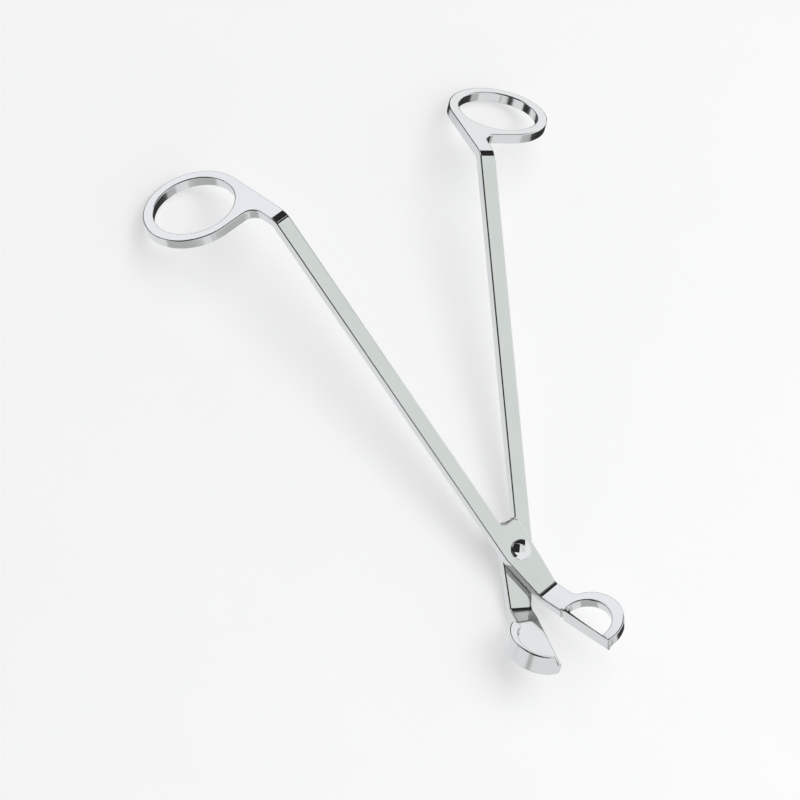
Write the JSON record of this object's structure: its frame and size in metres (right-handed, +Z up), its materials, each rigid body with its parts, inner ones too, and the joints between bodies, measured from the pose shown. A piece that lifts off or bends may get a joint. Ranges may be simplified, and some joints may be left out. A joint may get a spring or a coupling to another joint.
{
  "type": "wick trimmer",
  "caption": "Long-handled scissor tool that trims candle wicks, with finger rings bent down, an open-loop blade and a half-moon tray bent up, on one rivet.",
  "frame": {"origin": "on the table under the middle of the tool's box, as the open tool lies on the rims of its two rings and the heel of its tray arm", "axes": "+Y from the jaws towards the finger rings, +Z up from the table, with the rivet's head uppermost, and +X across the tool, towards the tray arm's ring"},
  "size_m": [0.1364, 0.1756, 0.0258],
  "materials": {
    "polished_steel": "mirror-polished stainless steel with small bright bevels along every edge",
    "washer_steel": "plain stainless shim, dull and slightly oiled"
  },
  "bodies": {
    "tray_half": {"tray_arm": "polished_steel", "pivot_rivet": "polished_steel", "spacer_washer": "washer_steel"},
    "blade_half": {"blade_arm": "polished_steel"}
  },
  "joints": [
    {"name": "blade_hinge", "type": "hinge", "parent": "tray_half", "child": "blade_half", "pos_m": [0.0001, -0.0497, 0.006], "axis": [-0.031, -0.1547, 0.9875], "range_deg": [-25, 15]}
  ]
}
